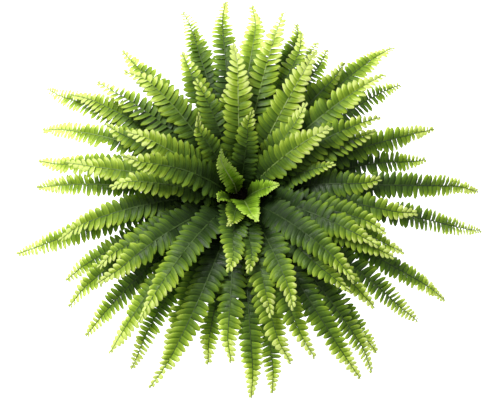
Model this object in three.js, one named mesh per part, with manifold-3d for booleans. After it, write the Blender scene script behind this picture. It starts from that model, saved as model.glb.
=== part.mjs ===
// A sword fern in a plain round nursery pot, in millimetres, +Z up.
// Eighty-three fronds arch out of the potting soil over the rim, in layers that nest one over
// the next, from the flat outer ones to the upright heart.
// The origin is the centre of the pot's flat underside.

import * as THREE from 'three';
import { mergeVertices } from 'three/addons/utils/BufferGeometryUtils.js';
import Module from 'manifold-3d';

const wasm = await Module();
wasm.setup();

// Pot: a moulded cone with a flat base and a straight collar round its mouth
const POT_HEIGHT = 150;
const POT_MOUTH_RADIUS = 85;
const POT_BASE_RADIUS = 60;
const POT_WALL = 2.4;
const COLLAR_HEIGHT = 20;
const COLLAR_STEP = 3;
const POT_SIDES = 36;

// Soil: fills the pot up to a little under its mouth
const SOIL_HEIGHT = 135;
const SOIL_DOME = 3;
const FIT_GAP = 0.4;

// Frond: a stalk, then a rib with a row of leaflets on each side
const ROOT_DEPTH = 9;
const TWIN_ROOT_DEPTH = 14;
const ROOTSTOCK_WIDTH = 1.8;
const ROOTSTOCK_HEIGHT = 2.2;
const ROOTSTOCK_LIFT = 0.5;
const BEND_HEIGHT = 2.5;
const LOWEST_RISE = 54;
const HIGHEST_RISE = 82;
const LOWEST_RUN = 6;
const HIGHEST_RUN = 42;
const HEART_LEVEL = 0.8;
const HEART_RUN = 40;
const BEND_LENGTH = 140;
const DROOP_PER_METRE = 150;
const TRACE_STEP = 2;
const CROWN_RADIUS = 50;
const HEART_RADIUS = 5;
const STALK_WIDTH = 2.6;
const STALK_DEPTH = 2.2;
const RIB_WIDTH = 1.6;
const BLADE_THICKNESS = 0.7;
const BARE_SHARE = 0.13;
const LEAFLET_SPACING = 27;
const LEAFLET_DROOP = 0.08;
const HIGHEST_CURL = 0.35;
const LOW_LEAFLET = 19;
const HIGH_LEAFLET = 27;
const FULL_LEVEL = 0.5;
const LOW_TAPER = 6;
const HIGH_TAPER = 3.5;

// Clearances between neighbours, in level from 0 to 1, in degrees and in millimetres
const LEVEL_STEP = 0.06;
const LEVEL_WINDOW = 20;
const FOOT_SPACING = 7;

// Every frond: the way it points in degrees from +X, how far its tip is from the pot's axis,
// its level from 0 for the lowest to 1 for the upright heart, and how far its tip sways sideways.
// Two rows together are two fronds that rise from one short piece of rootstock.
const FRONDS = [
  [[356, 366, 0.18, 45]],
  [[1, 205, 0.36, -8], [9, 140, 0.59, 0]],
  [[9, 285, 0.08, 0]],
  [[22, 215, 0.48, -12], [12, 305, 0.29, 36]],
  [[26, 220, 0.64, -8]],
  [[34, 145, 0.82, -16]],
  [[33, 300, 0.14, 12]],
  [[40, 265, 0.58, -14]],
  [[43, 145, 0.75, 8]],
  [[47, 330, 0.28, -16], [50, 242, 0.42, -10]],
  [[58, 262, 0.04, 0]],
  [[57, 218, 0.69, 8]],
  [[63, 260, 0.15, 0], [68, 255, 0.31, -8]],
  [[73, 284, 0.08, -20]],
  [[80, 270, 0.52, -18]],
  [[88, 285, 0.37, -16]],
  [[91, 195, 0.78, 0]],
  [[98, 302, 0.24, -14], [99, 150, 0.47, 0]],
  [[107, 304, 0.17, -4]],
  [[108, 265, 0.06, -10]],
  [[109, 160, 0.66, 12]],
  [[80, 96, 0.88, 4], [131, 110, 0.81, 0]],
  [[114, 222, 0.3, -4], [130, 275, 0.36, 5]],
  [[131, 236, 0.55, 8], [139, 260, 0.44, 26]],
  [[148, 295, 0.26, 8]],
  [[161, 175, 0.72, -12]],
  [[149, 352, 0.12, 14]],
  [[158, 215, 0.4, 0], [157, 322, 0.07, 22]],
  [[180, 250, 0.54, -22]],
  [[170, 308, 0.18, 16]],
  [[181, 308, 0.02, -16]],
  [[170, 165, 0.86, 16], [187, 185, 0.64, -16]],
  [[190, 272, 0.36, 32]],
  [[196, 348, 0.14, -4]],
  [[206, 290, 0.04, 5], [211, 302, 0.24, 18]],
  [[210, 240, 0.36, 4], [214, 250, 0.5, 19]],
  [[222, 310, 0.12, 10]],
  [[229, 305, 0.27, 20]],
  [[238, 306, 0.05, 4], [246, 280, 0.18, 6]],
  [[231, 250, 0.66, 22]],
  [[256, 315, 0.36, -44]],
  [[259, 262, 0.16, 0], [264, 258, 0.3, 8]],
  [[252, 140, 0.82, 40], [262, 75, 0.89, 0]],
  [[274, 305, 0.22, 0]],
  [[280, 300, 0.1, 0], [281, 270, 0.35, 12]],
  [[279, 205, 0.59, 14], [288, 275, 0.42, 14]],
  [[278, 140, 0.74, 0], [297, 205, 0.63, -18]],
  [[296, 326, 0.24, 36]],
  [[307, 328, 0.14, 0], [310, 310, 0.02, 0]],
  [[310, 225, 0.53, 8], [321, 220, 0.69, -16]],
  [[318, 262, 0.32, -8], [323, 325, 0.12, 0]],
  [[335, 245, 0.48, -10], [336, 258, 0.2, 4]],
  [[330, 345, 0.05, 22]],
  [[337, 218, 0.6, -18]],
  [[340, 222, 0.43, 6], [350, 262, 0.26, -4]],
  [[347, 375, 0.08, 36]],
  [[350, 56, 0.93, 0], [128, 50, 0.97, 4]],
  [[214, 42, 0.91, 0], [285, 75, 0.95, 0]],
];

const toRadians = THREE.MathUtils.degToRad;

/** Shortest turn between two azimuths, in degrees, always positive. */
function turnBetween(a, b) {
  const turn = Math.abs(a - b) % 360;
  return Math.min(turn, 360 - turn);
}

/** Names the fields of each row and spreads the levels of fronds that would share a height. */
function settledStems() {
  const stems = FRONDS.map((rows) => rows.map(([azimuth, reach, level, sway]) => (
    { azimuth, reach, level, sway }
  )));
  const all = stems.flat();
  for (let round = 0; round < 80; round += 1) {
    all.forEach((one, index) => all.slice(index + 1).forEach((other) => {
      if (turnBetween(one.azimuth, other.azimuth) > LEVEL_WINDOW) return;
      const gap = other.level - one.level;
      const lack = LEVEL_STEP - Math.abs(gap);
      if (lack <= 0) return;
      const push = (gap < 0 ? -lack : lack) / 2;
      one.level = THREE.MathUtils.clamp(one.level - push, 0, 1);
      other.level = THREE.MathUtils.clamp(other.level + push, 0, 1);
    }));
  }
  return stems;
}

/** Puts each frond's foot on the soil, lowest fronds outermost, then pushes close feet apart. */
function placeFeet(fronds) {
  fronds.forEach((frond) => {
    const radius = HEART_RADIUS + (CROWN_RADIUS - HEART_RADIUS) * (1 - frond.level) ** 0.8;
    frond.foot = new THREE.Vector2(radius, 0)
      .rotateAround(new THREE.Vector2(), toRadians(frond.azimuth));
  });
  for (let round = 0; round < 80; round += 1) {
    fronds.forEach(({ foot }, index) => fronds.slice(index + 1).forEach((other) => {
      const apart = new THREE.Vector2().subVectors(other.foot, foot);
      const lack = FOOT_SPACING - apart.length();
      if (lack <= 0) return;
      apart.setLength(lack / 2);
      foot.sub(apart);
      other.foot.add(apart);
    }));
  }
}

/** Half-width of the blade from rib to leaflet tip: full in the lower half, narrow at the tip. */
function bladeHalfWidth(frond, share) {
  const rank = Math.min(1, frond.level / FULL_LEVEL);
  const widest = Math.min(
    THREE.MathUtils.lerp(LOW_LEAFLET, HIGH_LEAFLET, rank),
    0.13 * frond.length,
  );
  const opening = 0.35 + 0.65 * THREE.MathUtils.smoothstep(share, 0, 0.25);
  const taper = THREE.MathUtils.lerp(LOW_TAPER, HIGH_TAPER, rank);
  return widest * opening * (1 - 0.86 * share ** taper);
}

/** Lean of a frond at a distance from the soil: it rises, bends over, runs out and droops. */
function leanAt(level, distance) {
  const { lerp } = THREE.MathUtils;
  const rise = lerp(LOWEST_RISE, HIGHEST_RISE, level);
  const heart = Math.max(0, (level - HEART_LEVEL) / (1 - HEART_LEVEL));
  const run = lerp(LOWEST_RUN, HIGHEST_RUN, Math.min(1, level / HEART_LEVEL)) + heart * HEART_RUN;
  const bend = Math.exp(-((distance / BEND_LENGTH) ** 2));
  return toRadians(run + (rise - run) * bend - DROOP_PER_METRE * distance / 1000);
}

/** Steps along the arch until it is as far out as the frond reaches. */
function traceArch(frond) {
  const run = frond.reach - frond.foot.length();
  const trace = [{ out: 0, up: 0 }];
  while (trace.at(-1).out < run) {
    const here = trace.at(-1);
    const lean = leanAt(frond.level, (trace.length - 0.5) * TRACE_STEP);
    trace.push({
      out: here.out + TRACE_STEP * Math.cos(lean),
      up: here.up + TRACE_STEP * Math.sin(lean),
    });
  }
  return trace;
}

/** A point of the frond's own arch, and its lean there; below the soil it stands upright. */
function archPlace(frond, distance) {
  if (distance < 0) {
    return { out: 0, side: 0, up: distance, lean: Math.PI / 2 };
  }
  const index = Math.min(Math.floor(distance / TRACE_STEP), frond.trace.length - 2);
  const part = distance / TRACE_STEP - index;
  const near = frond.trace[index];
  const far = frond.trace[index + 1];
  return {
    out: THREE.MathUtils.lerp(near.out, far.out, part),
    side: frond.sway * (distance / frond.length) ** 2,
    up: THREE.MathUtils.lerp(near.up, far.up, part),
    lean: leanAt(frond.level, distance),
  };
}

/** How far a leaflet's tip stands out of the face: near the crown it curls up round the crown. */
function leafletLift(frond, distance, across) {
  const place = archPlace(frond, distance);
  const round = across ** 2 / (2 * (frond.foot.length() + place.out)) * Math.sin(place.lean);
  return Math.min(round, HIGHEST_CURL * across) - LEAFLET_DROOP * across;
}

/** The point at a distance along the frond, moved across it and up out of its face. */
function frondPoint(frond, distance, across, above) {
  const place = archPlace(frond, distance);
  const lean = distance === 0 ? (place.lean + Math.PI / 2) / 2 : place.lean;
  const out = place.out - above * Math.sin(lean);
  const side = place.side + across;
  const azimuth = toRadians(frond.azimuth);
  return new THREE.Vector3(
    frond.foot.x + out * Math.cos(azimuth) - side * Math.sin(azimuth),
    frond.foot.y + out * Math.sin(azimuth) + side * Math.cos(azimuth),
    SOIL_HEIGHT + BEND_HEIGHT + place.up + above * Math.cos(lean),
  );
}

/** One frond as a closed mesh: a square stalk that thins into a rib, cut leaflets on both sides. */
function frondGeometry(frond) {
  const points = [];
  const faces = [];
  const addPair = (distance, across, middle, half) => {
    points.push(frondPoint(frond, distance, across, middle + half));
    points.push(frondPoint(frond, distance, across, middle - half));
    return [points.length - 2, points.length - 1];
  };
  const addSection = (distance, width, depth) => ({
    left: addPair(distance, width / 2, 0, depth / 2),
    right: addPair(distance, -width / 2, 0, depth / 2),
  });
  const quad = (a, b, c, d) => faces.push(a, b, c, a, c, d);

  const bladeStart = BARE_SHARE * frond.length;
  const bladeLength = frond.length - bladeStart;
  const pairCount = Math.max(4, Math.round(bladeLength / LEAFLET_SPACING));
  const step = bladeLength / (pairCount + 0.6);
  const sections = [
    addSection(-frond.rootDepth - BEND_HEIGHT, STALK_WIDTH, STALK_DEPTH),
    addSection(0, STALK_WIDTH, STALK_DEPTH),
    addSection(bladeStart / 2, STALK_WIDTH, STALK_DEPTH),
  ];
  for (let index = 0; index <= pairCount; index += 1) {
    const taper = index / pairCount;
    const width = THREE.MathUtils.lerp(STALK_WIDTH, RIB_WIDTH, Math.min(1, taper * 3));
    const depth = THREE.MathUtils.lerp(STALK_DEPTH, BLADE_THICKNESS + 0.3, Math.min(1, taper * 3));
    sections.push(addSection(bladeStart + index * step, width, depth));
  }

  const first = sections[0];
  quad(first.left[0], first.left[1], first.right[1], first.right[0]);
  for (let index = 0; index < sections.length - 1; index += 1) {
    const near = sections[index];
    const far = sections[index + 1];
    quad(near.left[0], near.right[0], far.right[0], far.left[0]);
    quad(near.left[1], far.left[1], far.right[1], near.right[1]);
    const pair = index - 3;
    if (index < 3) {
      quad(near.left[1], near.left[0], far.left[0], far.left[1]);
      quad(near.right[1], far.right[1], far.right[0], near.right[0]);
      continue;
    }
    const share = (pair + 0.5) / pairCount;
    const across = bladeHalfWidth(frond, share);
    const tipDistance = bladeStart + (pair + 0.78) * step;
    const sag = leafletLift(frond, tipDistance, across);
    const [leftTop, leftUnder] = addPair(tipDistance, across, sag, BLADE_THICKNESS / 2);
    const [rightTop, rightUnder] = addPair(tipDistance, -across, sag, BLADE_THICKNESS / 2);
    faces.push(near.left[0], far.left[0], leftTop);
    faces.push(far.left[1], near.left[1], leftUnder);
    quad(near.left[0], leftTop, leftUnder, near.left[1]);
    quad(leftTop, far.left[0], far.left[1], leftUnder);
    faces.push(far.right[0], near.right[0], rightTop);
    faces.push(near.right[1], far.right[1], rightUnder);
    quad(rightTop, near.right[0], near.right[1], rightUnder);
    quad(far.right[0], rightTop, rightUnder, far.right[1]);
  }
  const last = sections.at(-1);
  const [tipTop, tipUnder] = addPair(frond.length, 0, 0, BLADE_THICKNESS / 2);
  faces.push(last.left[0], last.right[0], tipTop);
  faces.push(last.right[1], last.left[1], tipUnder);
  quad(last.left[0], tipTop, tipUnder, last.left[1]);
  quad(tipTop, last.right[0], last.right[1], tipUnder);

  const geometry = new THREE.BufferGeometry().setFromPoints(points);
  geometry.setIndex(faces);
  return geometry;
}

/** A three.js geometry as a solid that can be joined and cut. */
function toSolid(geometry) {
  const bare = geometry.clone();
  bare.deleteAttribute('normal');
  bare.deleteAttribute('uv');
  const merged = mergeVertices(bare, 1e-4);
  return new wasm.Manifold(new wasm.Mesh({
    numProp: 3,
    vertProperties: new Float32Array(merged.attributes.position.array),
    triVerts: new Uint32Array(merged.index.array),
  }));
}

/** A joined or cut solid as a three.js geometry. */
function toGeometry(solid) {
  const mesh = solid.getMesh();
  const geometry = new THREE.BufferGeometry();
  geometry.setAttribute('position', new THREE.BufferAttribute(mesh.vertProperties, 3));
  geometry.setIndex(new THREE.BufferAttribute(mesh.triVerts, 1));
  geometry.computeVertexNormals();
  return geometry;
}

/** A box with its underside at a height, turned to lie along a direction. */
function turnedBox(length, width, height, centre, bottom, turn) {
  const box = new THREE.BoxGeometry(length, width, height);
  box.rotateZ(turn);
  box.translate(centre.x, centre.y, bottom + height / 2);
  return toSolid(box);
}

/** The rootstock that joins two stalks under the soil, or the room for it with a clearance. */
function rootstock([one, other], clear) {
  const span = new THREE.Vector2().subVectors(other.foot, one.foot);
  const centre = one.foot.clone().lerp(other.foot, 0.5);
  const bottom = SOIL_HEIGHT - TWIN_ROOT_DEPTH + ROOTSTOCK_LIFT - clear;
  return turnedBox(
    span.length(), ROOTSTOCK_WIDTH + 2 * clear, ROOTSTOCK_HEIGHT + 2 * clear,
    centre, bottom, span.angle(),
  );
}

/** Pot wall at a height, outside, below the collar. */
function wallRadius(height) {
  const collarFoot = POT_HEIGHT - COLLAR_HEIGHT;
  const shoulder = POT_MOUTH_RADIUS - COLLAR_STEP;
  return THREE.MathUtils.mapLinear(height, 0, collarFoot, POT_BASE_RADIUS, shoulder);
}

function potGeometry() {
  const collarFoot = POT_HEIGHT - COLLAR_HEIGHT;
  const inside = wallRadius(collarFoot) - POT_WALL;
  const profile = [
    [0, 0],
    [POT_BASE_RADIUS - 1.5, 0],
    [wallRadius(1.5), 1.5],
    [wallRadius(collarFoot), collarFoot],
    [POT_MOUTH_RADIUS, collarFoot + 1.5],
    [POT_MOUTH_RADIUS, POT_HEIGHT - 1],
    [POT_MOUTH_RADIUS - 1, POT_HEIGHT],
    [POT_MOUTH_RADIUS - POT_WALL, POT_HEIGHT],
    [inside, collarFoot],
    [wallRadius(POT_WALL) - POT_WALL, POT_WALL],
    [0, POT_WALL],
  ];
  return new THREE.LatheGeometry(profile.map(([r, z]) => new THREE.Vector2(r, z)), POT_SIDES)
    .rotateX(Math.PI / 2);
}

function soilGeometry(stems) {
  const collarFoot = POT_HEIGHT - COLLAR_HEIGHT;
  const floor = POT_WALL + FIT_GAP;
  const top = SOIL_HEIGHT - SOIL_DOME;
  const inset = POT_WALL + FIT_GAP * 1.2;
  const edge = Math.min(wallRadius(top), wallRadius(collarFoot)) - inset;
  const profile = [
    [0, floor],
    [wallRadius(floor) - inset, floor],
    [edge, top],
    [CROWN_RADIUS + 8, SOIL_HEIGHT],
    [0, SOIL_HEIGHT],
  ];
  const body = new THREE.LatheGeometry(profile.map(([r, z]) => new THREE.Vector2(r, z)), POT_SIDES)
    .rotateX(Math.PI / 2);
  let soil = toSolid(body);
  stems.forEach((fronds) => {
    fronds.forEach(({ foot, azimuth, rootDepth }) => {
      const length = STALK_DEPTH + 2 * FIT_GAP;
      const width = STALK_WIDTH + 2 * FIT_GAP;
      const bottom = SOIL_HEIGHT - rootDepth - FIT_GAP;
      const hole = turnedBox(length, width, rootDepth + 5, foot, bottom, toRadians(azimuth));
      soil = soil.subtract(hole);
    });
    if (fronds.length > 1) soil = soil.subtract(rootstock(fronds, FIT_GAP));
  });
  return toGeometry(soil);
}

/** Gives every frond its foot, its arch and its length, still grouped by stem. */
function layOut() {
  const stems = settledStems();
  placeFeet(stems.flat());
  stems.forEach((fronds) => fronds.forEach((frond) => {
    frond.rootDepth = fronds.length > 1 ? TWIN_ROOT_DEPTH : ROOT_DEPTH;
    frond.trace = traceArch(frond);
    frond.length = (frond.trace.length - 1) * TRACE_STEP;
  }));
  return stems;
}

/** The fronds of one stem; two of them are joined by their rootstock under the soil. */
function stemGeometry(fronds) {
  if (fronds.length === 1) return frondGeometry(fronds[0]);
  const solids = fronds.map((frond) => toSolid(frondGeometry(frond)));
  return toGeometry(solids.reduce((joined, solid) => joined.add(solid), rootstock(fronds, 0)));
}

const deepGreen = new THREE.Color(0x3f6a2c);
const freshGreen = new THREE.Color(0x86ad45);

function frondMaterial(fronds) {
  const level = fronds.reduce((sum, frond) => sum + frond.level, 0) / fronds.length;
  const color = deepGreen.clone().lerp(freshGreen, level);
  return new THREE.MeshStandardMaterial({ color, roughness: 0.55, metalness: 0, flatShading: true });
}

const potMaterial = new THREE.MeshStandardMaterial({ color: 0x6b4a35, roughness: 0.6, metalness: 0 });
const soilMaterial = new THREE.MeshStandardMaterial({ color: 0x2b2019, roughness: 0.95, metalness: 0 });

const fern = new THREE.Group();

function addPiece(name, geometry, material) {
  const piece = new THREE.Mesh(geometry, material);
  piece.name = name;
  fern.add(piece);
}

const stems = layOut();
addPiece('pot', potGeometry(), potMaterial);
addPiece('soil', soilGeometry(stems), soilMaterial);
stems.forEach((fronds, index) => {
  const number = String(index + 1).padStart(2, '0');
  const name = fronds.length === 1 ? `frond_${number}` : `frond_pair_${number}`;
  addPiece(name, stemGeometry(fronds), frondMaterial(fronds));
});

export default fern;
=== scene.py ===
"""A sword fern in a plain nursery pot, seen from almost straight above on a white studio floor."""

import math

import bpy
import numpy as np
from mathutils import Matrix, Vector


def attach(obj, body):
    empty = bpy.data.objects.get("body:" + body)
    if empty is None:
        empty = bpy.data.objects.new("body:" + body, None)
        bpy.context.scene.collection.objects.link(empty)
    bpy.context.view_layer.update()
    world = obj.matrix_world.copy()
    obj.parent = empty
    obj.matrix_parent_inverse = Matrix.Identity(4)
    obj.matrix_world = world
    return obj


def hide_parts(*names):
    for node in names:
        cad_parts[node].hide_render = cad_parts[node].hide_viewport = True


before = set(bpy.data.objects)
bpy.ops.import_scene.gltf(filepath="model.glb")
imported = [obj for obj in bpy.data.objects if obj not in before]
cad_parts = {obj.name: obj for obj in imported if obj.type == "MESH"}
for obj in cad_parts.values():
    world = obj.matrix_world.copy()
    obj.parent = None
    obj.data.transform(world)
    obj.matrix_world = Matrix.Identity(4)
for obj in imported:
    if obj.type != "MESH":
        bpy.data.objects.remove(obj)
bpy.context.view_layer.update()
chance = np.random.default_rng(41)


# The pot: a round nursery pot, injection moulded in one dark plastic. It is a plain cone with a
# straight collar round its mouth and a shallow hollow under its base, and stands on the floor.

POT_TURNS = 128
DUST_TOP = 0.06
DUST_COLOUR = (0.16, 0.14, 0.11)
POT_OUTLINE = [  # radius and height, from the middle of the underside round to the inner floor
    (0.0, 0.0012), (0.048, 0.0012), (0.0505, 0.0), (0.0580, 0.0), (0.0594, 0.0003), (0.0601, 0.0012),
    (0.0606, 0.0030), (0.0628, 0.0160), (0.0710, 0.0650), (0.0790, 0.1125), (0.0814, 0.1265),
    (0.0820, 0.1298), (0.0828, 0.1303), (0.0845, 0.1312), (0.0849, 0.1320), (0.0849, 0.1400),
    (0.0849, 0.1452), (0.0850, 0.1460), (0.0850, 0.1487), (0.0847, 0.1497), (0.0840, 0.1500),
    (0.0832, 0.1499), (0.0827, 0.1494), (0.0825, 0.1480), (0.0822, 0.1330), (0.0798, 0.1296),
    (0.0792, 0.1265), (0.0590, 0.0050), (0.0578, 0.0026), (0.0560, 0.0024), (0.0, 0.0024),
]


def new_piece(name, points, faces, materials, smooth_below=40):
    """A mesh object at the origin from points (n, 3) and a list of index arrays, one for each
    number of corners. Edges stay smooth where two faces meet at less than the given degrees."""
    mesh = bpy.data.meshes.new(name)
    corners = np.concatenate([block.ravel() for block in faces])
    sizes = np.concatenate([np.full(len(block), block.shape[1]) for block in faces])
    mesh.vertices.add(len(points))
    mesh.vertices.foreach_set("co", np.asarray(points, np.float32).ravel())
    mesh.loops.add(len(corners))
    mesh.loops.foreach_set("vertex_index", corners.astype(np.int32))
    mesh.polygons.add(len(sizes))
    mesh.polygons.foreach_set("loop_start", (np.cumsum(sizes) - sizes).astype(np.int32))
    for material in materials:
        mesh.materials.append(material)
    mesh.update(calc_edges=True)
    mesh.validate()
    mesh.polygons.foreach_set("use_smooth", np.ones(len(sizes), bool))
    mesh.set_sharp_from_angle(angle=math.radians(smooth_below))
    piece = bpy.data.objects.new(name, mesh)
    bpy.context.scene.collection.objects.link(piece)
    return piece


def ring_quads(rings):
    """The quads between neighbouring closed rings, from point numbers (rings, points round)."""
    beside = np.roll(rings, -1, axis=1)
    return np.stack([rings[:-1], beside[:-1], beside[1:], rings[1:]], axis=-1).reshape(-1, 4)


def turned(outline, turns):
    """An outline of (radius, height) turned round the Z axis. Its two ends lie on the axis, and
    each is one point that a fan of triangles closes."""
    outline = np.asarray(outline)
    angle = np.linspace(0, 2 * np.pi, turns, endpoint=False)
    radius, height = outline[1:-1, 0], outline[1:-1, 1]
    rings = np.stack([
        radius[:, None] * np.cos(angle), radius[:, None] * np.sin(angle),
        np.broadcast_to(height[:, None], (len(radius), turns)),
    ], axis=-1).reshape(-1, 3)
    points = np.vstack([rings, [0, 0, outline[0, 1]], [0, 0, outline[-1, 1]]])
    here = np.arange(len(rings)).reshape(len(radius), turns)
    beside = np.roll(here, -1, axis=1)
    start = np.stack([np.full(turns, len(rings)), beside[0], here[0]], axis=-1)
    end = np.stack([np.full(turns, len(rings) + 1), here[-1], beside[-1]], axis=-1)
    return points, [ring_quads(here), np.vstack([start, end])]


def mottle_group():
    """Two masks between 0 and 1, broad patches and a fine grain, each from noise at a scale of its
    own with its contrast stretched."""
    group = bpy.data.node_groups.new("mottle", "ShaderNodeTree")
    sockets = group.interface
    sockets.new_socket("Vector", in_out="INPUT", socket_type="NodeSocketVector")
    sockets.new_socket("Patch Scale", in_out="INPUT", socket_type="NodeSocketFloat")
    sockets.new_socket("Grain Scale", in_out="INPUT", socket_type="NodeSocketFloat")
    sockets.new_socket("Patches", in_out="OUTPUT", socket_type="NodeSocketFloat")
    sockets.new_socket("Grain", in_out="OUTPUT", socket_type="NodeSocketFloat")
    nodes, links = group.nodes, group.links
    entry, leave = nodes.new("NodeGroupInput"), nodes.new("NodeGroupOutput")
    for scale, mask, detail in (("Patch Scale", "Patches", 3), ("Grain Scale", "Grain", 2)):
        noise = nodes.new("ShaderNodeTexNoise")
        noise.inputs["Detail"].default_value = detail
        stretch = nodes.new("ShaderNodeMapRange")
        stretch.inputs["From Min"].default_value = 0.3
        stretch.inputs["From Max"].default_value = 0.7
        links.new(entry.outputs["Vector"], noise.inputs["Vector"])
        links.new(entry.outputs[scale], noise.inputs["Scale"])
        links.new(noise.outputs["Fac"], stretch.inputs["Value"])
        links.new(stretch.outputs["Result"], leave.inputs[mask])
    return group


MOTTLE = mottle_group()


class Finish:
    """A material under construction: its nodes, its links and its Principled shader."""

    def __init__(self, name, roughness, specular=0.5):
        self.material = bpy.data.materials.new(name)
        self.material.use_nodes = True
        self.nodes = self.material.node_tree.nodes
        self.links = self.material.node_tree.links
        self.shader = self.nodes["Principled BSDF"]
        self.set("Roughness", roughness)
        self.set("Specular IOR Level", specular)

    def feed(self, socket, value):
        """Sets an input to a number or a colour, or links another node's output to it."""
        if isinstance(value, bpy.types.NodeSocket):
            self.links.new(value, socket)
        elif socket.type == "RGBA":
            socket.default_value = (*value, 1.0)
        else:
            socket.default_value = value

    def set(self, socket, value):
        """The same for an input of the Principled shader."""
        self.feed(self.shader.inputs[socket], value)

    def add(self, kind, settings=None, **values):
        """A node with settings for its own fields and values for its input sockets."""
        node = self.nodes.new(kind)
        for field, value in (settings or {}).items():
            setattr(node, field, value)
        for socket, value in values.items():
            self.feed(node.inputs[socket.replace("_", " ")], value)
        return node

    def place(self):
        """The place on the piece, in its Object coordinates."""
        return self.add("ShaderNodeTexCoord").outputs["Object"]

    def attribute(self, name):
        """A number that the piece's mesh holds for each point."""
        return self.add("ShaderNodeAttribute", {"attribute_name": name}).outputs["Fac"]

    def mottle(self, patch_scale, grain_scale):
        """The two masks of the mottle group, by Object coordinates."""
        node = self.add("ShaderNodeGroup", {"node_tree": MOTTLE}, Vector=self.place())
        self.feed(node.inputs["Patch Scale"], patch_scale)
        self.feed(node.inputs["Grain Scale"], grain_scale)
        return node.outputs["Patches"], node.outputs["Grain"]

    def compute(self, operation, one, other=0.0):
        """The result of one of the Math node's operations on one or two values."""
        node = self.add("ShaderNodeMath", {"operation": operation})
        self.feed(node.inputs[0], one)
        self.feed(node.inputs[1], other)
        return node.outputs[0]

    def plus(self, one, other):
        return self.compute("ADD", one, other)

    def minus(self, one, other):
        return self.compute("SUBTRACT", one, other)

    def times(self, one, other):
        return self.compute("MULTIPLY", one, other)

    def between(self, value, low, high, start=0.0, end=1.0):
        """The value's range from low to high, stretched smoothly to start and end."""
        node = self.add(
            "ShaderNodeMapRange", {"interpolation_type": "SMOOTHSTEP"},
            Value=value, From_Min=low, From_Max=high, To_Min=start, To_Max=end,
        )
        return node.outputs["Result"]

    def ramp(self, value, stops):
        """A colour for each value, from stops of (place, linear colour)."""
        node = self.add("ShaderNodeValToRGB", Fac=value)
        elements = node.color_ramp.elements
        while len(elements) < len(stops):
            elements.new(0.5)
        for element, (place, colour) in zip(elements, stops):
            element.position = place
            element.color = (*colour, 1.0)
        return node.outputs["Color"]

    def blend(self, kind, share, one, other):
        """Two colours mixed or multiplied. A Mix node's colours are its inputs 6 and 7."""
        node = self.add("ShaderNodeMix", {"data_type": "RGBA", "blend_type": kind})
        for number, value in ((0, share), (6, one), (7, other)):
            self.feed(node.inputs[number], value)
        return node.outputs[2]

    def bump(self, height, strength, distance):
        """A relief in the shader's normal, the given number of metres high."""
        node = self.add("ShaderNodeBump", Height=height, Strength=strength, Distance=distance)
        self.set("Normal", node.outputs["Normal"])
        return node.outputs["Normal"]


def pot_finish():
    """Dark matt plastic with a fine moulded grain, and pale dust that gathers towards its foot."""
    finish = Finish("moulded_plastic", roughness=0.5)
    patches, grain = finish.mottle(patch_scale=38, grain_scale=1400)
    plastic = finish.ramp(patches, [(0.0, (0.010, 0.011, 0.0105)), (1.0, (0.016, 0.0175, 0.016))])
    height = finish.add("ShaderNodeSeparateXYZ", Vector=finish.place()).outputs["Z"]
    dust = finish.times(finish.between(height, DUST_TOP, 0.0), patches)
    finish.set("Base Color", finish.blend("MIX", finish.times(dust, 0.35), plastic, DUST_COLOUR))
    finish.set("Roughness", finish.between(patches, 0.0, 1.0, 0.42, 0.60))
    finish.bump(grain, strength=0.15, distance=0.0002)
    return finish.material


pot_piece = new_piece("nursery_pot", *turned(POT_OUTLINE, POT_TURNS), [pot_finish()])
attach(pot_piece, "root")
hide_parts("pot")


# The soil: peat potting soil with bark crumbs and a few white grains, pressed lightly into the pot
# by hand. Its top lies a little under the pot's mouth and swells towards the crown of the plant.

SOIL_TOP = 0.135
SOIL_EDGE = 0.132
SOIL_FOOT = 0.003
LEVEL_RADIUS = 0.058  # the top is level inside this radius, and falls from it to the wall
COLLAR_FOOT = 0.130
SOIL_RADII = (0.0573, 0.0788)  # at the pot's floor and at the foot of its collar
SOIL_TURNS = 112
SOIL_RINGS = 30
SINK = 0.0012  # how far the mean height of the hummocks lies under the plain top
BROAD_HUMMOCKS = 0.0016
FINE_HUMMOCKS = 0.0007
BARK_CRUMBS = 420
WHITE_GRAINS = 60
CRUMB_FIELD = 0.077  # the radius inside which crumbs lie
CRUMB_SIZES = (0.0008, 0.0026)


def hummocks(x, y, size, seed):
    """A smooth uneven surface between about -1 and 1: the sum of a dozen slanting waves about as
    long as the given size."""
    draw = np.random.default_rng(seed)
    angle, phase = draw.uniform(0, 2 * np.pi, (2, 12))
    rate = 2 * np.pi / size * draw.uniform(0.6, 1.6, 12)
    across = x[..., None] * np.cos(angle) + y[..., None] * np.sin(angle)
    return np.sin(across * rate + phase).mean(axis=-1) * 2.2


def ground(x, y):
    """The height of the soil: level round the crown, falling evenly to the pot's wall, and raised
    and lowered by broad hummocks."""
    slope = np.interp(np.hypot(x, y), [LEVEL_RADIUS, SOIL_RADII[1]], [SOIL_TOP, SOIL_EDGE])
    return slope - SINK + BROAD_HUMMOCKS * hummocks(x, y, size=0.03, seed=3)


def soil_body():
    """The soil as a turned plug that widens with the pot's wall. The rings of its top stand at the
    ground's height, with fine hummocks on it."""
    foot_radius = np.interp(SOIL_FOOT, [0, COLLAR_FOOT], SOIL_RADII)
    outline = [(0.0, SOIL_FOOT), (foot_radius, SOIL_FOOT), (SOIL_RADII[1], 0.1295)]
    outline += [(radius, SOIL_TOP) for radius in np.linspace(0.0785, 0.002, SOIL_RINGS)]
    points, faces = turned(outline + [(0.0, SOIL_TOP)], SOIL_TURNS)
    x, y, z = points.T
    top = ground(x, y) + FINE_HUMMOCKS * hummocks(x, y, size=0.006, seed=4)
    points[:, 2] = np.where(z == SOIL_TOP, top, z)
    return points, faces


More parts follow.
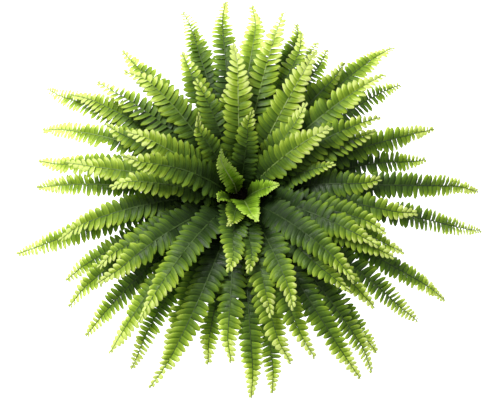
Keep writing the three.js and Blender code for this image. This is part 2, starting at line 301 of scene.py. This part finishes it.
def crumb_shapes(count):
    """Small angular lumps that lie half sunk in the soil: octahedra, each stretched along its three
    axes, with every corner pulled in or out, and turned its own way about the vertical."""
    corners = np.array([[1, 0, 0], [0, 1, 0], [-1, 0, 0], [0, -1, 0], [0, 0, 1], [0, 0, -1]], float)
    sides = np.array([
        [0, 1, 4], [1, 2, 4], [2, 3, 4], [3, 0, 4], [1, 0, 5], [2, 1, 5], [3, 2, 5], [0, 3, 5],
    ])
    size = chance.uniform(*CRUMB_SIZES, (count, 1, 1)) * chance.uniform(0.5, 1.3, (count, 1, 3))
    lumps = corners * size * chance.uniform(0.75, 1.2, (count, 6, 1))
    turn = chance.uniform(0, 2 * np.pi, (count, 1))
    x = lumps[..., 0] * np.cos(turn) - lumps[..., 1] * np.sin(turn)
    y = lumps[..., 0] * np.sin(turn) + lumps[..., 1] * np.cos(turn)
    radius = CRUMB_FIELD * np.sqrt(chance.uniform(0, 1, (count, 1)))
    angle = chance.uniform(0, 2 * np.pi, (count, 1))
    east, north = radius * np.cos(angle), radius * np.sin(angle)
    points = np.stack([x + east, y + north, lumps[..., 2] + ground(east, north)], axis=-1)
    faces = sides + 6 * np.arange(count)[:, None, None]
    return points.reshape(-1, 3), [faces.reshape(-1, 3)]


def soil_finish(name, dark, light, grain_scale):
    """A crumbly matt stuff: two colours in patches, with a coarse grain that stands well out."""
    finish = Finish(name, roughness=0.9, specular=0.2)
    patches, grain = finish.mottle(patch_scale=160, grain_scale=grain_scale)
    mixed = finish.plus(finish.times(patches, 0.6), finish.times(grain, 0.4))
    finish.set("Base Color", finish.ramp(mixed, [(0.15, dark), (0.85, light)]))
    finish.bump(grain, strength=0.9, distance=0.001)
    return finish.material


# The peat is near black: partly moist peat's own colour, partly painted shade under the crown.
soil_piece = new_piece("potting_soil", *soil_body(), [
    soil_finish("peat", (0.006, 0.004, 0.003), (0.026, 0.018, 0.011), 900),
], smooth_below=60)
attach(soil_piece, "root")
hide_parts("soil")

bark_piece = new_piece("bark_crumbs", *crumb_shapes(BARK_CRUMBS), [
    soil_finish("bark", (0.014, 0.009, 0.005), (0.060, 0.036, 0.020), 1500),
], smooth_below=20)
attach(bark_piece, "root")

grain_piece = new_piece("white_grains", *crumb_shapes(WHITE_GRAINS), [
    soil_finish("perlite", (0.42, 0.41, 0.38), (0.62, 0.60, 0.56), 2500),
], smooth_below=20)
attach(grain_piece, "root")


# The fronds: once-cut blades that grow from the crown, each a wiry stalk that runs on as the rib,
# with a row of thin blunt leaflets on each side. Two fronds that share a row rise from one
# rootstock.

# The way each frond points in degrees from +X, how far its tip is from the pot's axis in metres,
# its level from 0 for the lowest to 1 for the upright heart, how far its tip sways sideways, and
# how light its green is from 0 to 1, set frond by frond: partly its own ripeness and partly painted
# light and shade, on the whole lighter on fronds that point to -X and +Y, where the lamp stands,
# and darker on those that point to +X and -Y.
FRONDS = [
    [[356, 0.366, 0.18, 0.045, 0.22]],
    [[1, 0.205, 0.36, -0.008, 0.16], [9, 0.140, 0.59, 0, 0.24]],
    [[9, 0.285, 0.08, 0, 0.16]],
    [[22, 0.215, 0.48, -0.012, 0.25], [12, 0.305, 0.29, 0.036, 0.29]],
    [[26, 0.220, 0.64, -0.008, 0.32]],
    [[34, 0.145, 0.82, -0.016, 0.54]],
    [[33, 0.300, 0.14, 0.012, 0.14]],
    [[40, 0.265, 0.58, -0.014, 0.44]],
    [[43, 0.145, 0.75, 0.008, 0.44]],
    [[47, 0.330, 0.28, -0.016, 0.30], [50, 0.242, 0.42, -0.010, 0.26]],
    [[58, 0.262, 0.04, 0, 0.16]],
    [[57, 0.218, 0.69, 0.008, 0.60]],
    [[63, 0.260, 0.15, 0, 0.22], [68, 0.255, 0.31, -0.008, 0.30]],
    [[73, 0.284, 0.08, -0.020, 0.14]],
    [[80, 0.270, 0.52, -0.018, 0.56]],
    [[88, 0.285, 0.37, -0.016, 0.48]],
    [[91, 0.195, 0.78, 0, 0.62]],
    [[98, 0.302, 0.24, -0.014, 0.27], [99, 0.150, 0.47, 0, 0.30]],
    [[107, 0.304, 0.17, -0.004, 0.28]],
    [[108, 0.265, 0.06, -0.010, 0.26]],
    [[109, 0.160, 0.66, 0.012, 0.26]],
    [[80, 0.096, 0.88, 0.004, 0.30], [131, 0.110, 0.81, 0, 0.30]],
    [[114, 0.222, 0.3, -0.004, 0.32], [130, 0.275, 0.36, 0.005, 0.34]],
    [[131, 0.236, 0.55, 0.008, 0.44], [139, 0.260, 0.44, 0.026, 0.36]],
    [[148, 0.295, 0.26, 0.008, 0.38]],
    [[161, 0.175, 0.72, -0.012, 0.50]],
    [[149, 0.352, 0.12, 0.014, 0.39]],
    [[158, 0.215, 0.4, 0, 0.25], [157, 0.322, 0.07, 0.022, 0.50]],
    [[180, 0.250, 0.54, -0.022, 0.46]],
    [[170, 0.308, 0.18, 0.016, 0.40]],
    [[181, 0.308, 0.02, -0.016, 0.45]],
    [[170, 0.165, 0.86, 0.016, 0.40], [187, 0.185, 0.64, -0.016, 0.42]],
    [[190, 0.272, 0.36, 0.032, 0.36]],
    [[196, 0.348, 0.14, -0.004, 0.38]],
    [[206, 0.290, 0.04, 0.005, 0.30], [211, 0.302, 0.24, 0.018, 0.26]],
    [[210, 0.240, 0.36, 0.004, 0.24], [214, 0.250, 0.5, 0.019, 0.30]],
    [[222, 0.310, 0.12, 0.010, 0.24]],
    [[229, 0.305, 0.27, 0.020, 0.40]],
    [[238, 0.306, 0.05, 0.004, 0.34], [246, 0.280, 0.18, 0.006, 0.40]],
    [[231, 0.250, 0.66, 0.022, 0.34]],
    [[256, 0.315, 0.36, -0.044, 0.32]],
    [[259, 0.262, 0.16, 0, 0.24], [264, 0.258, 0.3, 0.008, 0.30]],
    [[252, 0.140, 0.82, 0.040, 0.24], [262, 0.075, 0.89, 0, 0.36]],
    [[274, 0.305, 0.22, 0, 0.26]],
    [[280, 0.300, 0.1, 0, 0.24], [281, 0.270, 0.35, 0.012, 0.32]],
    [[279, 0.205, 0.59, 0.014, 0.24], [288, 0.275, 0.42, 0.014, 0.26]],
    [[278, 0.140, 0.74, 0, 0.20], [297, 0.205, 0.63, -0.018, 0.28]],
    [[296, 0.326, 0.24, 0.036, 0.26]],
    [[307, 0.328, 0.14, 0, 0.22], [310, 0.310, 0.02, 0, 0.18]],
    [[310, 0.225, 0.53, 0.008, 0.19], [321, 0.220, 0.69, -0.016, 0.22]],
    [[318, 0.262, 0.32, -0.008, 0.20], [323, 0.325, 0.12, 0, 0.22]],
    [[335, 0.245, 0.48, -0.010, 0.22], [336, 0.258, 0.2, 0.004, 0.22]],
    [[330, 0.345, 0.05, 0.022, 0.20]],
    [[337, 0.218, 0.6, -0.018, 0.26]],
    [[340, 0.222, 0.43, 0.006, 0.27], [350, 0.262, 0.26, -0.004, 0.22]],
    [[347, 0.375, 0.08, 0.036, 0.20]],
    [[350, 0.056, 0.93, 0, 0.46], [128, 0.050, 0.97, 0.004, 0.90]],
    [[214, 0.042, 0.91, 0, 0.42], [285, 0.075, 0.95, 0, 0.52]],
]
HEART_STEMS = 2  # the last rows, whose blades are still young
SETTLING_ROUNDS = 80
LEVEL_WINDOW = 20  # fronds that point within this many degrees of each other are neighbours
LEVEL_STEP = 0.06  # the least difference in level between neighbours
HEART_RADIUS = 0.005  # where the highest stalks stand
CROWN_RADIUS = 0.050  # where the lowest stalks stand
FOOT_SPACING = 0.007
ARCH_START = 0.0025  # the height over the soil at which a stalk begins to lean
BEND_LENGTH = 0.140
DROOP = 150  # degrees a metre
TRACE_STEP = 0.002
TRACE_STEPS = 600


def settle_levels(fronds):
    """Spreads the levels of fronds that point almost the same way, half the lack to each."""
    for _ in range(SETTLING_ROUNDS):
        for index, one in enumerate(fronds):
            for other in fronds[index + 1:]:
                turn = abs(one["azimuth"] - other["azimuth"]) % 360
                if min(turn, 360 - turn) > LEVEL_WINDOW:
                    continue
                gap = other["level"] - one["level"]
                lack = LEVEL_STEP - abs(gap)
                if lack <= 0:
                    continue
                push = math.copysign(lack / 2, -1 if gap < 0 else 1)
                one["level"] = min(1, max(0, one["level"] - push))
                other["level"] = min(1, max(0, other["level"] + push))


def place_feet(fronds):
    """Sets each stalk's foot on the soil, the lowest fronds outermost and each on the side to which
    it points, and moves feet that are too close apart, half the lack to each."""
    for frond in fronds:
        radius = HEART_RADIUS + (CROWN_RADIUS - HEART_RADIUS) * (1 - frond["level"]) ** 0.8
        angle = math.radians(frond["azimuth"])
        frond["foot"] = np.array([radius * math.cos(angle), radius * math.sin(angle)])
    for _ in range(SETTLING_ROUNDS):
        for index, one in enumerate(fronds):
            for other in fronds[index + 1:]:
                apart = other["foot"] - one["foot"]
                span = math.hypot(*apart)
                lack = FOOT_SPACING - span
                if lack > 0:
                    one["foot"] -= apart * (lack / 2 / span)
                    other["foot"] += apart * (lack / 2 / span)


def lean_at(level, distance):
    """The lean above the horizon, in radians: a steep rise that gives way over the bend, as a bell
    curve falls, to a run that is steeper the higher the level, less an even droop."""
    rise = np.interp(level, [0, 1], [54, 82])
    run = np.interp(level, [0, 0.8, 1], [6, 42, 82])
    bend = np.exp(-(distance / BEND_LENGTH) ** 2)
    return np.radians(run + (rise - run) * bend - DROOP * distance)


def trace_arch(frond):
    """The arch as a chain of short steps, each at the lean of its middle, until it is as far out as
    the frond reaches."""
    run = frond["reach"] - math.hypot(*frond["foot"])
    lean = lean_at(frond["level"], (np.arange(TRACE_STEPS) + 0.5) * TRACE_STEP)
    out = np.concatenate([[0], np.cumsum(TRACE_STEP * np.cos(lean))])
    up = np.concatenate([[0], np.cumsum(TRACE_STEP * np.sin(lean))])
    steps = int(np.argmax(out >= run))
    frond["traced"] = np.arange(steps + 1) * TRACE_STEP
    frond["out"], frond["up"] = out[:steps + 1], up[:steps + 1]
    frond["length"] = steps * TRACE_STEP


def smoothstep(value, low, high):
    """0 up to low and 1 from high on. Between them, an S: three times the square of the way, less
    twice its cube."""
    way = np.clip((value - low) / (high - low), 0, 1)
    return way * way * (3 - 2 * way)


def frond_point(frond, distance, across, above):
    """The point at a distance along the arch, moved across it and up out of its face. The face
    rolls a little round the rib, and the rib sways and wavers sideways and hooks at its tip. Below
    the soil the stalk stands upright."""
    buried = distance < 0
    out = np.interp(distance, frond["traced"], frond["out"])
    up = np.where(buried, distance, np.interp(distance, frond["traced"], frond["up"]))
    lean = np.where(buried, np.pi / 2, lean_at(frond["level"], distance))
    share = np.maximum(distance, 0) / frond["length"]
    roll = frond["roll"] * share ** 1.5
    side = across * np.cos(roll) - above * np.sin(roll)
    above = across * np.sin(roll) + above * np.cos(roll)
    side = side + frond["sway"] * share ** 2 + frond["hook"] * smoothstep(share, 0.8, 1.0) ** 2
    waver = np.sin(7 * share + 40 * frond["sway"])  # one wave, begun where the sway says
    side = side + frond["waver"] * share * waver
    out = out - above * np.sin(lean)
    angle = math.radians(frond["azimuth"])
    x = frond["foot"][0] + out * math.cos(angle) - side * math.sin(angle)
    y = frond["foot"][1] + out * math.sin(angle) + side * math.cos(angle)
    z = SOIL_TOP + ARCH_START + up + above * np.cos(lean)
    return np.stack(np.broadcast_arrays(x, y, z), axis=-1)


RIB_SIDES = 6
RIB_STEP = 0.009
RIB_PLACES = [0, 0.06, 0.35, 1]  # shares of the length at which the widths and depths hold
RIB_WIDTHS = [0.0034, 0.0026, 0.0023, 0.0008]
RIB_DEPTHS = [0.0030, 0.0023, 0.0015, 0.0006]
RIB_LIFT = 0.0007
ROOT_DEPTH = 0.008


def rib_tube(frond):
    """The stalk and rib as one tube of flat six-sided sections, thick at the soil and thin at the
    tip, lying along the frond with its upper face just over the leaflets."""
    sections = 12 + int(frond["length"] / RIB_STEP)
    share = np.linspace(0, 1, sections)
    distance = (frond["length"] + ROOT_DEPTH) * share - ROOT_DEPTH
    angle = np.linspace(0, 2 * np.pi, RIB_SIDES, endpoint=False)
    across = np.interp(share, RIB_PLACES, RIB_WIDTHS)[:, None] / 2 * np.cos(angle)
    above = np.interp(share, RIB_PLACES, RIB_DEPTHS)[:, None] / 2 * np.sin(angle) + RIB_LIFT
    points = frond_point(frond, distance[:, None], across, above).reshape(-1, 3)
    share = np.repeat(share, RIB_SIDES)
    rings = np.arange(len(points)).reshape(sections, RIB_SIDES)
    return {
        "points": points,
        "numbers": np.stack(np.broadcast_arrays(0.0, 0.0, frond["ripeness_and_light"], 0.5, share), axis=-1),
        "quads": ring_quads(rings), "ends": np.array([rings[0, ::-1], rings[-1]]), "material": 1,
    }


BARE_SHARE = 0.07  # of the frond, the stalk without leaflets
LOW_PITCH = 0.43  # of the longest leaflet, from one to the next on the lowest fronds
HIGH_PITCH = 0.37  # the same from the middle level up
CLOSEST_PITCH = 0.0062
FEWEST_LEAFLETS = 9
CROWDING = 0.22  # how much wider than the mean the pitch is at the blade's foot
STUNTED_SHARE = 0.04  # of all leaflets
STUNTED_LENGTH = 0.65  # of a full one
TIP_SWING = 0.15  # of the leaflet's length, forward
BOW = 0.10  # of its length, up in the middle
CROSS_ARCH = 0.36  # of its half width, up from its edges to its vein
MARGIN_WAVE = 0.0005
LEAFLET_THICKNESS = 0.0005
TIP_PALING_AND_FOLD_SHADE = 0.42  # how much lighter a leaflet's tip is than its foot: partly own colour, partly painted glow at the tip and painted shade by the rib
TONE_SPREAD = 0.16  # how far the leaflets of one frond differ
LEAFLET_ALONG = np.array([0.0, 0.14, 0.32, 0.51, 0.69, 0.83, 0.93, 1.0])
LEAFLET_ACROSS = np.array([-1.0, -0.5, 0.0, 0.5, 1.0])


def leaflet_places(frond, hand):
    """Where the leaflets of one side stand, as shares of the blade, and how far apart they are
    there. The two sides take turns, and the leaflets crowd evenly towards the tip."""
    pitch = (LOW_PITCH + (HIGH_PITCH - LOW_PITCH) * frond["rank"]) * frond["widest"]
    count = max(FEWEST_LEAFLETS, round(frond["blade"] / max(pitch, CLOSEST_PITCH)))
    order = (np.arange(count) + (0.28 if hand > 0 else 0.72)) / (count + 0.4)
    share = order + CROWDING * order * (1 - order)
    return share, frond["blade"] / count * (1 + CROWDING * (1 - 2 * order))


def leaflet_length(frond, share):
    """From rib to tip: short at the blade's foot, full over most of it, and ever shorter towards
    its tip, sooner on the higher fronds."""
    opening = 0.35 + 0.65 * smoothstep(share, 0, 0.25)
    point = 1 - 0.25 * frond["rank"] * smoothstep(share, 0.7, 1.0)
    return frond["widest"] * opening * point * (1 - 0.86 * share ** (6 - 2.5 * frond["rank"]))


def leaflet_lift(frond, distance, across):
    """How far a leaflet's tip stands out of the face: near the crown it curls up round it, and
    farther out the two halves of the blade fold up or down as one."""
    out = np.interp(distance, frond["traced"], frond["out"]) + math.hypot(*frond["foot"])
    curl = across ** 2 / (2 * out) * np.sin(lean_at(frond["level"], distance))
    return np.minimum(curl, 0.35 * across) + frond["fold"] * across * smoothstep(out, 0.10, 0.24)


def leaflet_ripeness_and_light(frond, share, from_axis):
    """How much lighter than its frond a leaflet's green is: lighter towards the frond's tip, partly
    its own paler green and partly a painted glow; painted light at the plant's rim; and painted
    shade towards the blade's foot and round the crown."""
    # Painted glow towards the frond's tip and rim, painted shade towards the blade's foot and crown.
    light = 0.58 * share ** 1.7 + 0.34 * smoothstep(share, 0.76, 1.0)
    dark = 0.36 * (1 - share) ** 1.8 + 0.12 * frond["rank"] * (1 - share)
    painted_rim_light, shade = smoothstep(from_axis, 0.20, 0.34), 1 - smoothstep(from_axis, 0.13, 0.24)
    return light - dark + 0.12 * painted_rim_light - 0.11 * shade - 0.085


def leaflet_faces():
    """The quads of one leaflet: an upper and an under sheet that share the whole outline, so it
    is a closed thin lens."""
    rows, columns = len(LEAFLET_ALONG), len(LEAFLET_ACROSS)
    upper = np.arange(rows * columns).reshape(rows, columns)
    under = upper.copy()
    inner = (rows - 2) * (columns - 2)
    under[1:-1, 1:-1] = rows * columns + np.arange(inner).reshape(rows - 2, columns - 2)

    def quads(grid):
        corners = grid[:-1, :-1], grid[:-1, 1:], grid[1:, 1:], grid[1:, :-1]
        return np.stack(corners, axis=-1).reshape(-1, 4)

    return np.vstack([quads(upper), quads(under)[:, ::-1]]), rows * columns + inner


LEAFLET_QUADS, LEAFLET_POINTS = leaflet_faces()


def both_sheets(upper, under):
    """For each leaflet the numbers (leaflets, rows, columns, n) at the points of its upper sheet,
    then those at the points of its under sheet that are not on the outline."""
    leaflets, n = len(upper), upper.shape[-1]
    inner = under[:, 1:-1, 1:-1].reshape(leaflets, -1, n)
    return np.concatenate([upper.reshape(leaflets, -1, n), inner], axis=1).reshape(-1, n)


def each(values):
    """One value a leaflet, shaped to go with a leaflet's rows and columns of points."""
    return values[:, None, None]


def leaflet_rows(frond, hand):
    """All leaflets on one side of a frond. A leaflet is a strip that narrows to a blunt point and
    swings forward there. It bows up along its length and arches from edge to edge, is twisted a
    little so that it laps over the next, and waves at its margins."""
    share, pitch = leaflet_places(frond, hand)
    count, rank = len(share), frond["rank"]
    middle = frond["bare"] + share * frond["blade"]
    foot_radius = math.hypot(*frond["foot"])
    from_axis = foot_radius + share * (frond["reach"] - foot_radius)
    length = leaflet_length(frond, share) * chance.uniform(0.88, 1.06, count)
    length = length * np.where(chance.uniform(0, 1, count) < STUNTED_SHARE, STUNTED_LENGTH, 1)
    twist = each(np.radians(frond["twist"] + chance.normal(0, 9, count)))
    forward = each(0.02 + 0.12 * rank + chance.normal(0, 0.06, count))
    tone = each(chance.uniform(0, 1, count))
    wave = each(chance.uniform(0, 2 * np.pi, count))
    lift = each(leaflet_lift(frond, middle, length))
    bow = each(BOW * smoothstep(from_axis, 0.10, 0.24))
    slimmer = 1 - 0.24 * rank * smoothstep(share, 0.70, 1.0)
    half_width = each(pitch * slimmer) / 2 * frond["fullness"]
    length, middle = each(length), each(middle)

    t = LEAFLET_ALONG[None, :, None]  # 0 at the rib, 1 at the tip
    v = LEAFLET_ACROSS[None, None, :]  # -1 and 1 at the edges, 0 on the vein
    outline = (1 - 0.12 * t) * np.sqrt(np.maximum(1 - t ** 4, 0.03))
    half = half_width * outline
    distance = middle + half * v * np.cos(twist) + length * (forward * t + TIP_SWING * t ** 2)
    distance = np.minimum(distance, frond["length"] * 1.004)
    across = hand * length * t * (1 - 0.04 * np.abs(v))
    above = lift * t + bow * length * np.sin(np.pi * t) + half * v * np.sin(twist)
    above = above + CROSS_ARCH * half * (1 - v ** 2) * np.sqrt(t)
    above = above + MARGIN_WAVE * v ** 2 * np.sin(9 * t + wave + 2 * v)
    upper = frond_point(frond, distance, across, above)
    under = frond_point(frond, distance, across, above - LEAFLET_THICKNESS * (1 - v ** 2))

    # A leaflet's green: its frond's, plus the painted light and shade of its place on the plant.
    ripeness_and_light = frond["ripeness_and_light"] + each(leaflet_ripeness_and_light(frond, share, from_axis))
    # Lighter towards the leaflet's tip as own colour and painted glow, darker by the rib as painted
    # shade.
    ripeness_and_light = ripeness_and_light + TIP_PALING_AND_FOLD_SHADE * smoothstep(t, 0.15, 1.0) + TONE_SPREAD * (tone - 0.5)
    numbers = np.stack(np.broadcast_arrays(t, (v + 1) / 2, ripeness_and_light, tone, 0.0), axis=-1)
    quads = LEAFLET_QUADS if hand > 0 else LEAFLET_QUADS[:, ::-1]
    quads = quads + LEAFLET_POINTS * np.arange(count)[:, None, None]
    return {
        "points": both_sheets(upper, under), "numbers": both_sheets(numbers, numbers),
        "quads": quads.reshape(-1, 4), "ends": np.empty((0, RIB_SIDES), int), "material": 0,
    }


BLADE_STOPS = [
    (0.0, (0.027, 0.055, 0.014)), (0.25, (0.059, 0.118, 0.019)), (0.5, (0.139, 0.252, 0.022)),
    (0.74, (0.31, 0.46, 0.034)), (0.9, (0.52, 0.66, 0.075)), (1.0, (0.76, 0.84, 0.28)),
]
YOUNG_STOPS = [
    (0.0, (0.030, 0.060, 0.008)), (0.3, (0.095, 0.190, 0.014)), (0.55, (0.22, 0.40, 0.022)),
    (0.8, (0.42, 0.66, 0.05)), (1.0, (0.66, 0.84, 0.17)),
]
RIB_STOPS = [
    (0.0, (0.020, 0.034, 0.008)), (0.36, (0.036, 0.066, 0.014)), (0.52, (0.072, 0.130, 0.026)),
    (0.66, (0.20, 0.29, 0.07)), (1.0, (0.55, 0.64, 0.25)),
]
STALK_STOPS = [(0.0, (0.045, 0.024, 0.010)), (1.0, (0.12, 0.075, 0.03))]
LIGHT_THROUGH = 0.42  # the share of light that passes through a leaf


def blade_finish(name, stops, glow):
    """Thin waxy leaf: the green follows the leaf's lightness number, which carries painted light and
    shade, with painted light along one edge and painted shade along the other, as if cast by the
    next leaflet, a pale middle vein, slanting side veins, and light that comes through."""
    finish = Finish(name, roughness=0.4, specular=0.2)
    uv = finish.add("ShaderNodeUVMap", {"uv_map": "leaflet"}).outputs["UV"]
    plan = finish.add("ShaderNodeSeparateXYZ", Vector=uv)
    along, side = plan.outputs["X"], plan.outputs["Y"]
    from_vein = finish.compute("ABSOLUTE", finish.minus(side, 0.5))
    vein = finish.between(from_vein, 0.07, 0.0)
    slant = finish.minus(finish.times(along, 70.0), finish.times(from_vein, 34.0))
    side_veins = finish.between(finish.compute("SINE", slant), -0.2, 1.0)
    # Painted light on the base-side edge and a painted shadow on the tip-side edge of each leaflet.
    painted_light_edge = finish.between(side, 0.34, 0.0)
    painted_shade_edge = finish.between(side, 0.62, 1.0)
    patches, grain = finish.mottle(patch_scale=55, grain_scale=700)
    level = finish.attribute("ripeness_and_light")
    for mask, weight in (
        (finish.minus(patches, 0.5), 0.10), (painted_light_edge, 0.12), (painted_shade_edge, -0.16),
        (vein, 0.10), (side_veins, -0.025),
    ):
        level = finish.plus(level, finish.times(mask, weight))
    green = finish.ramp(level, stops)
    finish.set("Base Color", green)
    finish.set("Roughness", finish.between(finish.attribute("tone"), 0.0, 1.0, 0.30, 0.44))
    relief = finish.plus(finish.times(side_veins, 0.5), finish.times(grain, 0.3))
    normal = finish.bump(finish.minus(relief, vein), strength=0.5, distance=0.0003)
    behind = finish.blend("MULTIPLY", 1.0, green, glow)
    through = finish.add("ShaderNodeBsdfTranslucent", Color=behind, Normal=normal)
    leaf = finish.add("ShaderNodeMixShader", Fac=LIGHT_THROUGH)
    finish.links.new(finish.shader.outputs[0], leaf.inputs[1])
    finish.links.new(through.outputs[0], leaf.inputs[2])
    finish.links.new(leaf.outputs[0], finish.nodes["Material Output"].inputs["Surface"])
    return finish.material


def rib_finish():
    """Wiry stalk: brown at the soil, then dull green, and paler where its frond's green is lighter
    and towards its tip; that lightness is partly the frond's own ripeness and partly painted light.
    """
    finish = Finish("frond_rib", roughness=0.5, specular=0.3)
    share = finish.attribute("share")
    patches, grain = finish.mottle(patch_scale=120, grain_scale=2200)
    ripeness_and_light = finish.plus(finish.attribute("ripeness_and_light"), finish.times(share, 0.2))
    green, brown = finish.ramp(ripeness_and_light, RIB_STOPS), finish.ramp(patches, STALK_STOPS)
    finish.set("Base Color", finish.blend("MIX", finish.between(share, 0.16, 0.04), green, brown))
    finish.bump(grain, strength=0.4, distance=0.0002)
    return finish.material


blade_material = blade_finish("frond_blade", BLADE_STOPS, glow=(0.95, 1.0, 0.45))
young_material = blade_finish("young_blade", YOUNG_STOPS, glow=(0.9, 1.0, 0.4))
rib_material = rib_finish()


def leafy_frond(name, fronds, leaf_material):
    """One mesh of all leaflets and ribs of a stem. Five numbers go with each point: its place along
    and across its leaflet, how light its green is (partly ripeness, partly painted light and shade),
    its leaflet's tone, and its share of the rib."""
    points, numbers, quads, ends, material_index, count = [], [], [], [], [], 0
    for frond in fronds:
        for part in (leaflet_rows(frond, 1), leaflet_rows(frond, -1), rib_tube(frond)):
            points.append(part["points"])
            numbers.append(part["numbers"])
            quads.append(part["quads"] + count)
            ends.append(part["ends"] + count)
            material_index.append(np.full(len(part["quads"]), part["material"]))
            count += len(part["points"])
    quads, ends, numbers = np.vstack(quads), np.vstack(ends), np.vstack(numbers)
    materials = [leaf_material, rib_material]
    piece = new_piece(name, np.vstack(points), [quads, ends], materials, smooth_below=50)
    mesh = piece.data
    material_index.append(np.ones(len(ends), int))
    material_index = np.concatenate(material_index).astype(np.int32)
    mesh.polygons.foreach_set("material_index", material_index)
    corner = np.empty(len(mesh.loops), np.int32)
    mesh.loops.foreach_get("vertex_index", corner)
    plan = mesh.uv_layers.new(name="leaflet")
    plan.uv.foreach_set("vector", numbers[corner, :2].astype(np.float32).ravel())
    for column, title in ((2, "ripeness_and_light"), (3, "tone"), (4, "share")):
        attribute = mesh.attributes.new(title, "FLOAT", "POINT")
        attribute.data.foreach_set("value", numbers[:, column].astype(np.float32))
    return piece


stems = [
    [dict(zip(("azimuth", "reach", "level", "sway", "ripeness_and_light"), row)) for row in rows]
    for rows in FRONDS
]
every_frond = [frond for stem in stems for frond in stem]
settle_levels(every_frond)
place_feet(every_frond)
for frond in every_frond:
    trace_arch(frond)
    rank = min(1, frond["level"] / 0.5)  # 0 for the lowest, 1 from the middle level up
    frond["rank"] = rank
    frond["bare"] = BARE_SHARE * frond["length"]
    frond["blade"] = frond["length"] - frond["bare"]
    frond["widest"] = min(0.019 + 0.008 * rank, 0.13 * frond["length"])
    frond["fullness"] = 1.08 + 0.22 * rank
    frond["twist"] = chance.normal(-4 - 8 * rank, 5)
    frond["roll"] = math.radians(chance.normal(0, 16 - 5 * frond["level"]))
    frond["fold"] = chance.normal(0, 0.12)
    frond["hook"] = chance.normal(0, 0.005)
    frond["waver"] = chance.normal(0, 0.002)

for number, stem in enumerate(stems, 1):
    heart = number > len(stems) - HEART_STEMS
    node = f"frond_{number:02d}" if len(stem) == 1 else f"frond_pair_{number:02d}"
    piece = leafy_frond(f"leafy_{node}", stem, young_material if heart else blade_material)
    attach(piece, "root")
    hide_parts(node)


# The studio: a wide white floor that glows a little, one soft square lamp at the upper left, and
# the camera almost straight above the plant.

FLOOR_SIDE = 30.0
FLOOR_GLOW = 1.6
SKY_STRENGTH = 0.45
LAMP_PLACE = Vector((-0.95, 1.1, 2.2))
LAMP_TARGET = Vector((0.0, 0.0, 0.15))
LAMP_SIDE = 1.0
LAMP_POWER = 84
CAMERA_TARGET = Vector((0.0, 0.0, 0.22))
CAMERA_ELEVATION = math.radians(75)
CAMERA_DISTANCE = 1.5
CAMERA_LENS = 74.0

floor_finish = Finish("studio_floor", roughness=0.9, specular=0.1)
floor_patches, _ = floor_finish.mottle(patch_scale=2, grain_scale=40)
floor_finish.set("Base Color", floor_finish.ramp(floor_patches, [
    (0.0, (0.34, 0.34, 0.34)), (1.0, (0.37, 0.37, 0.37)),
]))
floor_finish.set("Emission Color", (1.0, 1.0, 1.0))
floor_finish.set("Emission Strength", FLOOR_GLOW)
half_side = FLOOR_SIDE / 2
floor = new_piece("studio_floor", np.array([
    [-half_side, -half_side, 0], [half_side, -half_side, 0],
    [half_side, half_side, 0], [-half_side, half_side, 0],
]), [np.array([[0, 1, 2, 3]])], [floor_finish.material])

world = bpy.data.worlds.new("studio")
bpy.context.scene.world = world
world.use_nodes = True
sky = world.node_tree.nodes["Background"]
sky.inputs["Color"].default_value = (1.0, 1.0, 1.0, 1.0)
sky.inputs["Strength"].default_value = SKY_STRENGTH

lamp = bpy.data.lights.new("key_light", "AREA")
lamp.shape, lamp.size, lamp.energy = "SQUARE", LAMP_SIDE, LAMP_POWER
key_light = bpy.data.objects.new("key_light", lamp)
key_light.location = LAMP_PLACE
key_light.rotation_euler = (LAMP_TARGET - LAMP_PLACE).to_track_quat("-Z", "Y").to_euler()
bpy.context.scene.collection.objects.link(key_light)

camera_data = bpy.data.cameras.new("camera")
camera_data.lens = CAMERA_LENS
camera_data.shift_x = 0.02
camera_data.shift_y = -0.032
camera = bpy.data.objects.new("camera", camera_data)
back = Vector((0, -math.cos(CAMERA_ELEVATION), math.sin(CAMERA_ELEVATION)))
camera.location = CAMERA_TARGET + back * CAMERA_DISTANCE
camera.rotation_euler = (-back).to_track_quat("-Z", "Y").to_euler()
bpy.context.scene.collection.objects.link(camera)
bpy.context.scene.camera = camera
bpy.context.scene.view_settings.view_transform = "Standard"
